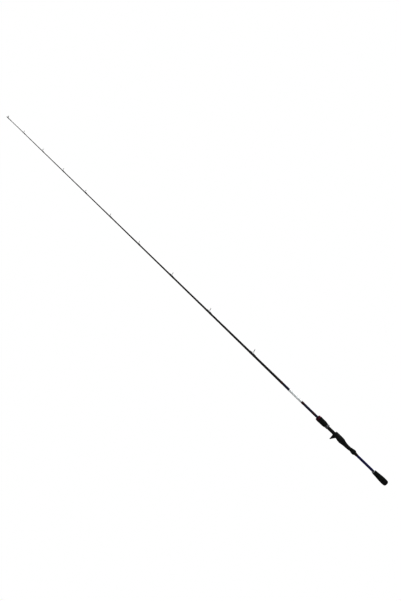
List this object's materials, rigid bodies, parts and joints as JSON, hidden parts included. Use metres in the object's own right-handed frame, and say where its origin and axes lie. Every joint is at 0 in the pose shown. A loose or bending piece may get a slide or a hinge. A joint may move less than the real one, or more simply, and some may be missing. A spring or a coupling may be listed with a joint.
{
  "type": "casting fishing rod",
  "caption": "Slim one-piece casting rod with a trigger reel seat, split foam grips, leaning line guides and a tip-top.",
  "frame": {"origin": "on the rod's axis under the middle of the reel foot's place, where a hand holds the seat", "axes": "+X along the rod towards its butt (the tip is at -X), +Z towards the guides and the reel, the trigger points to -Z"},
  "size_m": [2.083, 0.025, 0.0499],
  "materials": {
    "blank_carbon": "clear-coated carbon tube, blue-black behind the seat",
    "butt_rubber": "matt moulded rubber",
    "grip_foam": "fine closed-cell foam, matt",
    "silver_ring": "polished",
    "grey_ring": "satin gunmetal",
    "seat_plastic": "fibre-filled nylon, satin",
    "arbor_foam": "rigid foam under glue",
    "hood_metal": "satin grey anodised",
    "wine_ring": "dark red anodised",
    "red_thread": "dark red thread under varnish",
    "label_foil": "plain silver foil under varnish",
    "guide_metal": "smoked stainless wire and strip",
    "guide_ceramic": "polished dark ceramic",
    "wrap_thread": "black thread under varnish"
  },
  "bodies": {
    "root": {"blank": "blank_carbon", "butt_cap": "butt_rubber", "butt_plug": "butt_rubber", "butt_grip": "grip_foam", "rear_knob": "grip_foam", "butt_check": "silver_ring", "rear_check": "grey_ring", "reel_seat": "seat_plastic", "seat_arbor_rear": "arbor_foam", "seat_arbor_front": "arbor_foam", "rear_trim_band": "red_thread", "middle_trim_band": "red_thread", "front_trim_band": "red_thread", "label_band": "label_foil", "guide_1_frame": "guide_metal", "guide_1_ring": "guide_ceramic", "guide_1_wraps": "wrap_thread", "guide_2_frame": "guide_metal", "guide_2_ring": "guide_ceramic", "guide_2_wraps": "wrap_thread", "guide_3_frame": "guide_metal", "guide_3_ring": "guide_ceramic", "guide_3_wraps": "wrap_thread", "guide_4_frame": "guide_metal", "guide_4_ring": "guide_ceramic", "guide_4_wraps": "wrap_thread", "guide_5_frame": "guide_metal", "guide_5_ring": "guide_ceramic", "guide_5_wraps": "wrap_thread", "guide_6_frame": "guide_metal", "guide_6_ring": "guide_ceramic", "guide_6_wraps": "wrap_thread", "guide_7_frame": "guide_metal", "guide_7_ring": "guide_ceramic", "guide_7_wraps": "wrap_thread", "guide_8_frame": "guide_metal", "guide_8_ring": "guide_ceramic", "guide_8_wraps": "wrap_thread", "guide_9_frame": "guide_metal", "guide_9_ring": "guide_ceramic", "guide_9_wraps": "wrap_thread", "tip_top_frame": "guide_metal", "tip_top_ring": "guide_ceramic", "tip_top_wrap": "wrap_thread"},
    "hood": {"hood_carrier": "seat_plastic", "hood_shell": "hood_metal"},
    "lock": {"nut_retainer": "seat_plastic", "lock_nut": "seat_plastic", "foregrip": "grip_foam", "front_ring": "wine_ring"}
  },
  "joints": [
    {"name": "hood_slide", "type": "slide", "parent": "root", "child": "hood", "axis": [-1, 0, 0], "range_m": [0, 0.024]},
    {"name": "lock_nut_turn", "type": "hinge", "parent": "hood", "child": "lock", "pos_m": [-0.055, 0, 0], "axis": [-1, 0, 0], "range_deg": [0, 2880]}
  ],
  "couplings": [
    {"joint": "lock_nut_turn", "follows": "hood_slide", "rad_per_m": 2094.4}
  ]
}
